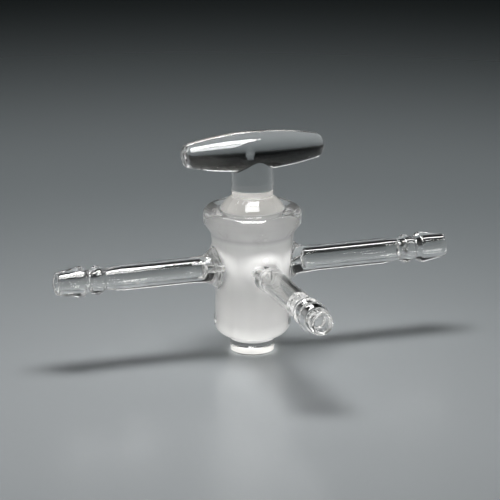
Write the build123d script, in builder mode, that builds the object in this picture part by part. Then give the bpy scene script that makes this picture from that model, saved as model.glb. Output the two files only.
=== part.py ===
# Glass stopcock: a barrel with three barbed hose arms, and a ground taper plug that turns in it
# All sizes are in millimetres, +Z is up, +X runs along the right arm, and -Y along the front arm
# The origin is the centre of the plug's flat foot
import os
from math import sqrt
from build123d import *

os.makedirs("parts", exist_ok=True)

# Ground taper of the plug, and the seat that it turns in
plug_foot_radius = 6.85
taper_share = 0.066  # growth in radius for each unit of height
seat_clearance = 0.05
foot_chamfer = 0.4

# Barrel body, from its rounded underside to the flared lip around the mouth
barrel_lift = 5.3  # the plug's small end stands out this far below the barrel
barrel_length = 41.8
underside_radius = 12.9
underside_round_share = 0.86  # part of the wall at the underside that is rounded
waist_radius = 11.75
waist_rise = 13.4  # from the underside up to the waist's measuring point
collar_radius = 13.4
collar_depth = 7.7  # from the mouth down to the crease under the collar
crease_round = 0.5
lip_radius = 15.65
lip_depth = 4.4  # from the mouth down to the lip's lower edge
lip_under_round = 1.5
lip_top_round = 2.2
mouth_round = 0.5

# Arms, with a bore that ends round in the root and goes on as a narrow port
arm_angles = (0, 180, 270)
arm_drop = 11.1  # from the crease under the collar down to the axis of the arms
arm_reach = 64.8
tube_radius = 4.1
root_radius = 5.5  # the tube swells towards this radius at the plug's axis
root_length = 21.0
root_flare = 4.8
flare_space_share = 0.88  # part of the room below the collar's crease that the flare may take
bore_radius = 2.4
bore_stop = 17.6  # from the plug's axis out to where the bore starts to round off
port_radius = 1.0
tip_round = 0.5

# Hose barb at the end of each arm, measured along the arm from its tip
tip_radius = 3.65
tip_cone_length = 7.4
outer_ridge_radius = 4.9
outer_ridge_length = 1.2
outer_back_length = 1.6
valley_radius = 3.35
inner_cone_length = 2.6
inner_ridge_radius = 4.6
inner_ridge_length = 1.0
inner_back_length = 2.0
barb_neck_length = 5.0
barb_round = 0.9

# Shoulder and neck of the plug, above the mouth
plug_rise = 0.3  # the ground taper ends this far above the barrel's mouth
shoulder_height = 3.6
shoulder_bulge = 0.25
neck_radius = 6.55
neck_length = 14.7  # from the shoulder up to the axis of the grip
neck_base_round = 0.8
neck_top_round = 0.6

# Bar grip, a spindle with an oval section
grip_length = 46.3
grip_radius = 6.2
grip_overhang = 0.5  # the grip is this much wider than the neck on each side
grip_end_radius = 3.45
grip_end_round = 2.8

# Heights and radii that follow from the sizes above
barrel_top = barrel_lift + barrel_length
waist_height = barrel_lift + waist_rise
collar_height = barrel_top - collar_depth
lip_height = barrel_top - lip_depth
arm_height = collar_height - arm_drop
plug_top = barrel_top + plug_rise
plug_top_radius = plug_foot_radius + taper_share * plug_top
shoulder_top = plug_top + shoulder_height
grip_height = shoulder_top + neck_length
seat_low_radius = plug_foot_radius + taper_share * barrel_lift + seat_clearance
seat_top_radius = plug_foot_radius + taper_share * barrel_top + seat_clearance
underside_round = underside_round_share * (underside_radius - seat_low_radius)
flare_room = flare_space_share * (arm_drop - root_radius)
root_round = min(root_flare, flare_room)

# Stations along an arm, measured from the plug's axis
outer_ridge_end = arm_reach - tip_cone_length
outer_ridge_start = outer_ridge_end - outer_ridge_length
outer_valley = outer_ridge_start - outer_back_length
inner_ridge_end = outer_valley - inner_cone_length
inner_ridge_start = inner_ridge_end - inner_ridge_length
inner_valley = inner_ridge_start - inner_back_length
tube_end = inner_valley - barb_neck_length
port_start = bore_stop - sqrt(bore_radius**2 - port_radius**2)

# Barrel: one piece of glass with its arms
with BuildPart() as barrel:
    # Waisted body under a flared lip, solid until the seat is cut
    with BuildSketch(Plane.YZ) as body_profile:
        with BuildLine():
            underside = Line((0, barrel_lift), (underside_radius, barrel_lift))
            waist = ThreePointArc(
                underside @ 1, (waist_radius, waist_height), (collar_radius, collar_height)
            )
            collar = Line(waist @ 1, (lip_radius, lip_height))
            rim = Line(collar @ 1, (lip_radius, barrel_top))
            Polyline(rim @ 1, (0, barrel_top), (0, barrel_lift))
        make_face()
        fillet(body_profile.vertices().sort_by_distance(underside @ 1)[0], underside_round)
        fillet(body_profile.vertices().sort_by_distance(waist @ 1)[0], crease_round)
        fillet(body_profile.vertices().sort_by_distance(collar @ 1)[0], lip_under_round)
        fillet(body_profile.vertices().sort_by_distance(rim @ 1)[0], lip_top_round)
    revolve(axis=Axis.Z)

    # Three arms with barbed ends, each fused to the body with a flared root
    for arm_angle in arm_angles:
        arm_way = Vector(1, 0, 0).rotate(Axis.Z, arm_angle)
        arm_plane = Plane((0, 0, arm_height), x_dir=arm_way, z_dir=arm_way.cross(Vector(0, 0, 1)))
        with BuildSketch(arm_plane):
            with BuildLine():
                barb = FilletPolyline(
                    (0, root_radius),
                    (root_length, tube_radius),
                    (tube_end, tube_radius),
                    (inner_valley, valley_radius),
                    (inner_ridge_start, inner_ridge_radius),
                    (inner_ridge_end, inner_ridge_radius),
                    (outer_valley, valley_radius),
                    (outer_ridge_start, outer_ridge_radius),
                    (outer_ridge_end, outer_ridge_radius),
                    (arm_reach, tip_radius),
                    radius=barb_round,
                )
                Polyline(barb @ 1, (arm_reach, 0), (0, 0), barb @ 0)
            make_face()
        revolve(axis=Axis(arm_plane.origin, arm_plane.x_dir))
        fillet(barrel.edges(Select.NEW), root_round)

    # Ground tapered seat, right through the body
    with BuildSketch(Plane.YZ):
        with BuildLine():
            Polyline(
                (0, barrel_lift),
                (seat_low_radius, barrel_lift),
                (seat_top_radius, barrel_top),
                (0, barrel_top),
                close=True,
            )
        make_face()
    revolve(axis=Axis.Z, mode=Mode.SUBTRACT)
    fillet(barrel.faces().sort_by(Axis.Z)[-1].edges().sort_by(SortBy.LENGTH)[0], mouth_round)

    # Bore of each arm, with a round end and a port into the seat
    for arm_angle in arm_angles:
        arm_way = Vector(1, 0, 0).rotate(Axis.Z, arm_angle)
        arm_plane = Plane((0, 0, arm_height), x_dir=arm_way, z_dir=arm_way.cross(Vector(0, 0, 1)))
        with BuildSketch(arm_plane):
            with BuildLine():
                mouth = Polyline((arm_reach, 0), (arm_reach, bore_radius), (bore_stop, bore_radius))
                round_end = RadiusArc(mouth @ 1, (port_start, port_radius), -bore_radius)
                Polyline(round_end @ 1, (0, port_radius), (0, 0), mouth @ 0)
            make_face()
        revolve(axis=Axis(arm_plane.origin, arm_plane.x_dir), mode=Mode.SUBTRACT)

    # Fire-polished tips
    tip_faces = barrel.faces().sort_by(Axis.X)[:1] + barrel.faces().sort_by(Axis.X)[-1:]
    tip_faces = tip_faces + barrel.faces().sort_by(Axis.Y)[:1]
    fillet(tip_faces.edges(), tip_round)

# Plug: one piece of glass with its grip
with BuildPart() as plug:
    # Spindle-shaped bar grip, turned round and then widened to an oval
    grip_plane = Plane((0, 0, grip_height), x_dir=(1, 0, 0), z_dir=(0, -1, 0))
    with BuildSketch(grip_plane) as grip_profile:
        with BuildLine():
            crown = ThreePointArc(
                (-grip_length / 2, grip_end_radius), (0, grip_radius), (grip_length / 2, grip_end_radius)
            )
            Polyline(crown @ 1, (grip_length / 2, 0), (-grip_length / 2, 0), crown @ 0)
        make_face()
        fillet(grip_profile.vertices().group_by(Axis.Y)[-1], grip_end_round)
    revolve(axis=Axis(grip_plane.origin, grip_plane.x_dir))
    scale(by=(1, (neck_radius + grip_overhang) / grip_radius, 1))

    # Ground taper, domed shoulder and neck
    with BuildSketch(Plane.XZ) as stem_profile:
        with BuildLine():
            taper = Polyline((0, 0), (plug_foot_radius, 0), (plug_top_radius, plug_top))
            shoulder = SagittaArc(taper @ 1, (neck_radius, shoulder_top), -shoulder_bulge)
            Polyline(shoulder @ 1, (neck_radius, grip_height), (0, grip_height), (0, 0))
        make_face()
        chamfer(stem_profile.vertices().sort_by_distance((plug_foot_radius, 0))[0], foot_chamfer)
        fillet(stem_profile.vertices().sort_by_distance(shoulder @ 1)[0], neck_base_round)
    revolve(axis=Axis.Z)
    fillet(plug.edges(Select.NEW), neck_top_round)

    # T-shaped passage: straight through between the side arms, with a branch to the front arm
    with BuildSketch(Plane.YZ):
        with Locations((0, arm_height)):
            Circle(port_radius)
    extrude(amount=plug_top_radius, both=True, mode=Mode.SUBTRACT)
    with BuildSketch(Plane.XZ):
        with Locations((0, arm_height)):
            Circle(port_radius)
    extrude(amount=plug_top_radius, mode=Mode.SUBTRACT)

barrel.part.label = "barrel"
plug.part.label = "plug"

export_step(barrel.part, "parts/barrel.step")
export_step(plug.part, "parts/plug.step")
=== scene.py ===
# Glass stopcock in a plain studio: clear lamp-worked glass, ground where the plug turns in its seat
import math
import bpy
import numpy as np
from mathutils import Matrix, Vector

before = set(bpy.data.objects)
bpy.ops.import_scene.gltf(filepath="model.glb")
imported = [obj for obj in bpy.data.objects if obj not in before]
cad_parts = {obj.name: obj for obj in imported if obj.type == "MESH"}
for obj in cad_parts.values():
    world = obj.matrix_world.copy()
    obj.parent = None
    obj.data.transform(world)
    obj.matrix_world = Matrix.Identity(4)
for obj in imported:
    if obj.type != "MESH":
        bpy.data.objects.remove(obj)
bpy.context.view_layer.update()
scene = bpy.context.scene
print("frame loaded:", ", ".join(sorted(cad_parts)))


# sRGB hex to linear red, green, blue and alpha
def linearColour(hexText):
    raw = np.array([int(hexText[i:i + 2], 16) for i in (1, 3, 5)]) / 255
    linear = np.where(raw <= 0.04045, raw / 12.92, ((raw + 0.055) / 1.055) ** 2.4)
    return (*linear.tolist(), 1.0)


# Adds one node: settings are its own properties, inputs are values, sockets or nodes to link from
def addNode(tree, kind, settings=None, inputs=None):
    node = tree.nodes.new(kind)
    for name, value in (settings or {}).items():
        setattr(node, name, value)
    for name, value in (inputs or {}).items():
        if isinstance(value, bpy.types.Node):
            value = value.outputs[0]
        if isinstance(value, bpy.types.NodeSocket):
            tree.links.new(value, node.inputs[name])
        else:
            node.inputs[name].default_value = value
    return node


# Gives a colour ramp its stops, a dictionary from position to colour
def setStops(ramp, kind, stops):
    ramp.interpolation = kind
    while len(ramp.elements) > 1:
        ramp.elements.remove(ramp.elements[-1])
    for index, (position, colour) in enumerate(stops.items()):
        element = ramp.elements.new(position) if index else ramp.elements[0]
        element.position = position
        element.color = colour


def newMaterial(name):
    material = bpy.data.materials.new(name)
    material.use_nodes = True
    material.node_tree.nodes.clear()
    return material


# Glass of both pieces, with lengths in millimetres
glass = {
    "index": 1.5,
    "coneFoot": 6.85,  # radius of the ground cone at the bench
    "coneGrowth": 0.066,  # growth in radius for each unit of height
    "coneDepth": 0.12,  # a surface this close to the cone counts as ground
    "grain": 0.35,  # real grit is finer, and this is as coarse as it needs to show
    "rings": 1.6,  # spacing of the marks that the grinding leaves round the cone
    "ringShare": 0.6,  # weight of the rings beside the grain
    "gritSpread": 0.12,  # how far grain and rings move the roughness
    "gritMean": 0.1,  # what they add on average, taken off again
    "heightTop": 50.0,  # ramps over height run from the bench to here
    "radiusTop": 100.0,  # white in a ramp of distances stands for this much
}


# One where the surface lies on the ground cone, between two heights, and zero on the clear glass.
# The distance from the plug's axis is set against the cone's radius at the same height.
def groundZone(tree, axes, across, facts):
    start = (glass["coneFoot"] + facts["clearance"]) / 1000
    cone = addNode(tree, "ShaderNodeMath", {"operation": "MULTIPLY_ADD"}, {
        0: axes[2], 1: glass["coneGrowth"], 2: start})
    near = addNode(tree, "ShaderNodeMath", {"operation": "COMPARE"}, {
        0: across, 1: cone, 2: glass["coneDepth"] / 1000})
    low, high = facts["groundHeights"]
    between = addNode(tree, "ShaderNodeMath", {"operation": "COMPARE"}, {
        0: axes[2], 1: (low + high) / 2000, 2: (high - low) / 2000})
    zone = addNode(tree, "ShaderNodeMath", {"operation": "MULTIPLY"}, {0: near, 1: between})
    if "groundFoot" not in facts:
        return zone
    foot = addNode(tree, "ShaderNodeMath", {"operation": "LESS_THAN"}, {
        0: axes[2], 1: facts["groundFoot"] / 1000})
    return addNode(tree, "ShaderNodeMath", {"operation": "MAXIMUM"}, {0: zone, 1: foot})


# Painted glow: the flared roots of the arms gather light on the frost behind them, and this paints it in.
# The oval round each root is measured from the nearest arm's middle plane, and from a height just above the
# arms.
def paintRootGlow(tree, axes, frostAndPaintedLight, paintedRootGlow):
    behind = addNode(tree, "ShaderNodeMath", {"operation": "MAXIMUM"}, {0: axes[1], 1: 0.0})
    front = addNode(tree, "ShaderNodeCombineXYZ", inputs={0: axes[0], 1: behind})
    front = addNode(tree, "ShaderNodeVectorMath", {"operation": "LENGTH"}, {0: front}).outputs["Value"]
    sides = addNode(tree, "ShaderNodeMath", {"operation": "ABSOLUTE"}, {0: axes[1]})
    nearest = addNode(tree, "ShaderNodeMath", {"operation": "MINIMUM"}, {0: front, 1: sides})
    rise = addNode(tree, "ShaderNodeMath", {"operation": "SUBTRACT"}, {0: axes[2], 1: paintedRootGlow["height"] / 1000})
    rise = addNode(tree, "ShaderNodeMath", {"operation": "MULTIPLY"}, {0: rise, 1: paintedRootGlow["flatness"]})
    away = addNode(tree, "ShaderNodeCombineXYZ", inputs={0: nearest, 1: rise})
    away = addNode(tree, "ShaderNodeVectorMath", {"operation": "LENGTH"}, {0: away}).outputs["Value"]
    share = addNode(tree, "ShaderNodeMapRange", {"interpolation_type": "SMOOTHSTEP"}, {
        "Value": away,
        "From Min": paintedRootGlow["inner"] / 1000,
        "From Max": paintedRootGlow["outer"] / 1000,
        "To Min": 1.0,
        "To Max": 0.0,
    })
    return addNode(tree, "ShaderNodeMix", {"data_type": "RGBA"}, {
        "Factor": share, 6: frostAndPaintedLight, 7: linearColour(paintedRootGlow["colour"])}).outputs[2]


# The frost's colour by height carries painted light and shade: whiter where the clear wall round it gathers
# light, darker under the collar's crease
def frostWithPaintedLight(tree, axes, height, facts):
    frostAndPaintedLight = addNode(tree, "ShaderNodeValToRGB", inputs={0: height})
    stops = {rise / glass["heightTop"]: linearColour(shade) for rise, shade in facts["frostAndPaintedLight"].items()}
    setStops(frostAndPaintedLight.color_ramp, "EASE", stops)
    return paintRootGlow(tree, axes, frostAndPaintedLight, facts["paintedRootGlow"]) if "paintedRootGlow" in facts else frostAndPaintedLight.outputs[0]


# Dull on the ground faces, uneven with fine grain and the rings of the grinding, and zero on the clear glass
def groundDullness(tree, place, axes, ground, facts):
    grain = addNode(tree, "ShaderNodeTexNoise", inputs={
        "Vector": place, "Scale": 1000 / glass["grain"], "Detail": 2.0})
    rings = addNode(tree, "ShaderNodeTexNoise", {"noise_dimensions": "1D"}, {
        "W": axes[2], "Scale": 1000 / glass["rings"], "Detail": 3.0})
    grit = addNode(tree, "ShaderNodeMath", {"operation": "MULTIPLY_ADD"}, {
        0: rings, 1: glass["ringShare"], 2: grain})
    dull = addNode(tree, "ShaderNodeMath", {"operation": "MULTIPLY_ADD"}, {
        0: grit, 1: glass["gritSpread"], 2: facts["groundRoughness"] - glass["gritMean"]})
    return addNode(tree, "ShaderNodeMath", {"operation": "MULTIPLY"}, {0: ground, 1: dull})


# Slow waves that the flame leaves, and the low seam that a mould leaves along the top of a grip
def glassRelief(tree, place, axes, facts):
    waves = addNode(tree, "ShaderNodeTexNoise", inputs={
        "Vector": place, "Scale": 1000 / facts["waves"]["length"], "Detail": 1.0})
    seam = 0.0
    if "seam" in facts:
        aside = addNode(tree, "ShaderNodeMath", {"operation": "ABSOLUTE"}, {0: axes[1]})
        ridge = addNode(tree, "ShaderNodeMapRange", {"interpolation_type": "SMOOTHSTEP"}, {
            "Value": aside,
            "From Max": facts["seam"]["width"] / 1000,
            "To Min": facts["seam"]["height"] / 1000,
            "To Max": 0.0,
        })
        above = addNode(tree, "ShaderNodeMath", {"operation": "GREATER_THAN"}, {
            0: axes[2], 1: facts["seam"]["from"] / 1000})
        seam = addNode(tree, "ShaderNodeMath", {"operation": "MULTIPLY"}, {0: ridge, 1: above})
    relief = addNode(tree, "ShaderNodeMath", {"operation": "MULTIPLY_ADD"}, {
        0: waves, 1: facts["waves"]["height"] / 1000, 2: seam})
    return addNode(tree, "ShaderNodeBump", inputs={"Height": relief, "Distance": 1.0})


# Lamp light goes straight through the clear walls, but arms and lip bend it aside and cast a darker shadow.
# They start at a distance from the axis that changes with height.
def lightThrough(tree, across, height, facts):
    colour = linearColour(facts["lampThrough"])
    if "bent" in facts:
        limit = addNode(tree, "ShaderNodeValToRGB", inputs={0: height})
        stops = {}
        for rise, far in facts["bent"]["from"].items():
            stops[rise / glass["heightTop"]] = (*[far / glass["radiusTop"]] * 3, 1.0)
        setStops(limit.color_ramp, "CONSTANT", stops)
        apart = addNode(tree, "ShaderNodeMath", {"operation": "MULTIPLY"}, {
            0: across, 1: 1000 / glass["radiusTop"]})
        bent = addNode(tree, "ShaderNodeMath", {"operation": "GREATER_THAN"}, {0: apart, 1: limit})
        colour = addNode(tree, "ShaderNodeMix", {"data_type": "RGBA"}, {
            "Factor": bent, 6: colour, 7: linearColour(facts["bent"]["colour"])}).outputs[2]
    return addNode(tree, "ShaderNodeBsdfTransparent", inputs={"Color": colour})


# Borosilicate glass: water-clear and mirror-smooth where the flame has been, white and dull where ground
def makeGlass(facts):
    material = newMaterial(facts["name"])
    tree = material.node_tree
    place = addNode(tree, "ShaderNodeTexCoord").outputs["Object"]
    axes = addNode(tree, "ShaderNodeSeparateXYZ", inputs={0: place}).outputs
    level = addNode(tree, "ShaderNodeCombineXYZ", inputs={0: axes[0], 1: axes[1]})
    across = addNode(tree, "ShaderNodeVectorMath", {"operation": "LENGTH"}, {0: level}).outputs["Value"]
    height = addNode(tree, "ShaderNodeMapRange", inputs={
        "Value": axes[2], "From Max": glass["heightTop"] / 1000})
    ground = groundZone(tree, axes, across, facts)
    tint = addNode(tree, "ShaderNodeMix", {"data_type": "RGBA"}, {
        "Factor": ground, 6: linearColour(facts["tint"]), 7: frostWithPaintedLight(tree, axes, height, facts)})
    clear = addNode(tree, "ShaderNodeMath", {"operation": "MULTIPLY_ADD"}, {
        0: ground, 1: facts["groundClear"] - 1, 2: 1.0})
    body = addNode(tree, "ShaderNodeBsdfPrincipled", inputs={
        "Base Color": tint.outputs[2],
        "Roughness": groundDullness(tree, place, axes, ground, facts),
        "IOR": glass["index"],
        "Transmission Weight": clear,
        "Normal": glassRelief(tree, place, axes, facts),
    })

    # Lamps shine through the clear walls, and the frost stops their light
    lampRay = addNode(tree, "ShaderNodeLightPath").outputs["Is Shadow Ray"]
    unground = addNode(tree, "ShaderNodeMath", {"operation": "SUBTRACT"}, {0: 1.0, 1: ground})
    letsThrough = addNode(tree, "ShaderNodeMath", {"operation": "MULTIPLY"}, {0: lampRay, 1: unground})
    both = addNode(tree, "ShaderNodeMixShader", inputs={
        0: letsThrough, 1: body, 2: lightThrough(tree, across, height, facts)})
    addNode(tree, "ShaderNodeOutputMaterial", inputs={"Surface": both})
    return material


# Barrel: lengths in millimetres, with the frost's colours by height, which carry painted light and shade,
# and the start of the bent light by height
barrelLook = {
    "name": "barrel borosilicate with ground seat",
    "tint": "#FBFBFA",
    # frost colour with painted light and shade: whiter at the bottom edge and behind the arms, painted shade
    # under the collar's crease
    "frostAndPaintedLight": {
        5.6: "#F4F3F1",
        10: "#C9C8C7",
        21: "#B5B5B4",
        28: "#D4D3D2",
        37: "#ABABAA",
        39: "#939392",
        41: "#9F9F9E",
    },
    # painted glow on the frost behind the roots of the arms
    "paintedRootGlow": {"colour": "#FCFBFA", "height": 30.2, "flatness": 1.8, "inner": 2.5, "outer": 9.5},
    "groundHeights": (5.3, 47.1),
    "groundRoughness": 0.42,
    "groundClear": 0.0,  # share of the light that the frost still lets through
    "clearance": 0.05,  # the seat is this much wider than the plug's cone
    "waves": {"length": 7.0, "height": 0.02},
    "lampThrough": "#EFEFEE",
    "bent": {"colour": "#3A4042", "from": {0: 13.0, 28.3: 16.5, 45: 0.0}},
}
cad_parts["barrel"].material_slots[0].material = makeGlass(barrelLook)

# Plug: the same glass, pressed, with a ground foot and a mould seam along the grip
plugLook = {
    "name": "plug borosilicate with ground taper",
    "tint": "#FBFBFA",
    "frostAndPaintedLight": {20: "#F0EFED", 47.4: "#E9E8E6"},
    "groundHeights": (4.2, 47.4),
    "groundFoot": 0.05,  # below this height the flat foot is ground too
    "groundRoughness": 0.42,
    "groundClear": 0.2,
    "clearance": 0.0,
    "waves": {"length": 9.0, "height": 0.02},
    "seam": {"width": 1.0, "height": 0.55, "from": 60.0},
    "lampThrough": "#FFFFFE",
}
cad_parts["plug"].material_slots[0].material = makeGlass(plugLook)
print("glass dressed")

# Floor: lengths in metres, and the tones of a painted pool of light from the middle outwards, at shares of
# the reach
floorLook = {
    "paintedPoolTones": {0.05: "#9DA1A3", 0.45: "#7C8284", 0.95: "#242A2A"},
    "reach": 0.62,
    "centre": (-0.04, -0.06, 0.0),
    "size": 6.0,
    "drop": 0.0001,  # the floor lies this far below the foot, so that the two faces don't coincide
    "roughness": 0.22,
}


# Sheet of satin studio card with a painted pool of light: pale in the middle under the lamps and falling
# away to dark with distance
def makeFloor():
    half = floorLook["size"] / 2
    corners = np.array([(-1, -1, 0), (1, -1, 0), (1, 1, 0), (-1, 1, 0)]) * half - (0, 0, floorLook["drop"])
    mesh = bpy.data.meshes.new("floor")
    mesh.from_pydata(corners.tolist(), [], [(0, 1, 2, 3)])
    floor = bpy.data.objects.new("floor", mesh)
    scene.collection.objects.link(floor)
    material = newMaterial("satin studio card")
    tree = material.node_tree
    place = addNode(tree, "ShaderNodeTexCoord").outputs["Object"]
    moved = addNode(tree, "ShaderNodeVectorMath", {"operation": "SUBTRACT"}, {
        0: place, 1: floorLook["centre"]})
    away = addNode(tree, "ShaderNodeVectorMath", {"operation": "LENGTH"}, {0: moved}).outputs["Value"]
    share = addNode(tree, "ShaderNodeMath", {"operation": "DIVIDE"}, {0: away, 1: floorLook["reach"]})
    ramp = addNode(tree, "ShaderNodeValToRGB", inputs={0: share})
    setStops(ramp.color_ramp, "EASE", {at: linearColour(shade) for at, shade in floorLook["paintedPoolTones"].items()})
    card = addNode(tree, "ShaderNodeBsdfPrincipled", inputs={
        "Base Color": ramp, "Roughness": floorLook["roughness"]})
    addNode(tree, "ShaderNodeOutputMaterial", inputs={"Surface": card})
    mesh.materials.append(material)


makeFloor()

# Camera: degrees, metres, and lens and sensor in millimetres
view = {
    "azimuth": -19.0,
    "elevation": 17.24,
    "distance": 1.3,
    "aside": -0.00075,
    "height": 0.03296,
    "lens": 295.88,
    "sensor": 36.0,
    "farEnd": 20.0,
}
viewAngle = math.radians(view["azimuth"])
viewRise = math.radians(view["elevation"])
viewRight = Vector((math.cos(viewAngle), math.sin(viewAngle), 0))
viewLevel = Vector((math.sin(viewAngle), -math.cos(viewAngle), 0))
viewBack = viewLevel * math.cos(viewRise) + Vector((0, 0, math.sin(viewRise)))

# Room: a pale ceiling and pale walls at the two sides, dark behind the object and behind the camera.
# Each grows from nothing to full as a direction turns straight up or straight aside, where it measures one.
room = {
    "colour": "#FBFCFD",
    "ceiling": {"strength": 0.1, "from": 0.72, "full": 0.93},
    "walls": {"strength": 0.35, "from": 0.5, "full": 0.95},
    "dark": 0.002,
}


def makeRoom():
    world = bpy.data.worlds.new("studio")
    world.use_nodes = True
    world.node_tree.nodes.clear()
    tree = world.node_tree
    way = addNode(tree, "ShaderNodeTexCoord").outputs["Generated"]
    up = addNode(tree, "ShaderNodeSeparateXYZ", inputs={0: way}).outputs[2]
    aside = addNode(tree, "ShaderNodeVectorMath", {"operation": "DOT_PRODUCT"}, {0: way, 1: viewRight})
    aside = addNode(tree, "ShaderNodeMath", {"operation": "ABSOLUTE"}, {0: aside.outputs["Value"]})
    pale = {}
    for name, turned in (("walls", aside), ("ceiling", up)):
        pale[name] = addNode(tree, "ShaderNodeMapRange", {"interpolation_type": "SMOOTHSTEP"}, {
            "Value": turned,
            "From Min": room[name]["from"],
            "From Max": room[name]["full"],
            "To Max": room[name]["strength"],
        })
    strength = addNode(tree, "ShaderNodeMath", {"operation": "ADD"}, {0: pale["walls"], 1: pale["ceiling"]})
    strength = addNode(tree, "ShaderNodeMath", {"operation": "MAXIMUM"}, {0: strength, 1: room["dark"]})
    light = addNode(tree, "ShaderNodeBackground", inputs={
        "Color": linearColour(room["colour"]), "Strength": strength})
    addNode(tree, "ShaderNodeOutputWorld", inputs={"Surface": light})
    scene.world = world


makeRoom()

# Lamps: places and sizes in metres, power in watts
lamps = {
    "top softbox": {"place": (-0.012, -0.008, 0.5), "size": (0.3, 0.16), "power": 2.8, "kind": "softbox"},
    "top card": {"place": (-0.012, -0.008, 0.495), "size": (0.3, 0.16), "power": 1.3, "kind": "card"},
    "front card": {"place": (-0.065, -0.185, 0.5), "size": (0.34, 0.16), "power": 2.4, "kind": "card"},
    "left strip": {"place": (-0.22, 0.26, 0.5), "size": (0.05, 0.2), "power": 0.15, "kind": "card"},
    "back light": {"place": (0.1, 0.4, 0.5), "size": (0.6, 0.1), "power": 0.5, "kind": "back"},
    "left fill": {"place": (-0.68, -0.17, 0.03), "size": (0.4, 0.04), "power": 2.5, "kind": "fill"},
    "right fill": {"place": (0.43, -0.55, 0.03), "size": (0.4, 0.04), "power": 2.5, "kind": "fill"},
}
lampTarget = Vector((0, 0, 0.035))  # about the middle of the object

# Rays that can meet each kind of lamp: from dull surfaces, off gloss, or bent by clear glass
lampRays = {
    "softbox": ("diffuse", "glossy", "transmission"),
    "card": ("glossy",),
    "back": ("transmission",),
    "fill": ("diffuse", "transmission"),
}


# A soft lamp that looks at the middle of the object, its long side square to the camera
def makeLamp(name, facts):
    place = Vector(facts["place"])
    away = (place - lampTarget).normalized()
    side = (viewRight - away * viewRight.dot(away)).normalized()
    turn = Matrix((side, away.cross(side), away)).transposed()
    data = bpy.data.lights.new(name, "AREA")
    data.shape = "RECTANGLE"
    data.size, data.size_y = facts["size"]
    data.energy = facts["power"]
    lamp = bpy.data.objects.new(name, data)
    lamp.matrix_world = Matrix.Translation(place) @ turn.to_4x4()
    for ray in ("camera", "diffuse", "glossy", "transmission"):
        setattr(lamp, "visible_" + ray, ray in lampRays[facts["kind"]])
    scene.collection.objects.link(lamp)


for lampName, lampFacts in lamps.items():
    makeLamp(lampName, lampFacts)
print("studio set")

camera = bpy.data.objects.new("camera", bpy.data.cameras.new("camera"))
camera.data.lens = view["lens"]
camera.data.sensor_width = view["sensor"]
camera.data.clip_end = view["farEnd"]
camera.location = viewRight * view["aside"] + Vector((0, 0, view["height"])) + viewBack * view["distance"]
camera.rotation_mode = "QUATERNION"
camera.rotation_quaternion = viewBack.to_track_quat("Z", "Y")
scene.collection.objects.link(camera)
scene.camera = camera
print("camera set")

# Light is mirrored many times inside thick glass, so its paths are long
scene.view_settings.view_transform = "Standard"
scene.cycles.use_denoising = True
scene.cycles.max_bounces = 32
scene.cycles.glossy_bounces = 24
scene.cycles.transmission_bounces = 24
scene.cycles.transparent_max_bounces = 24
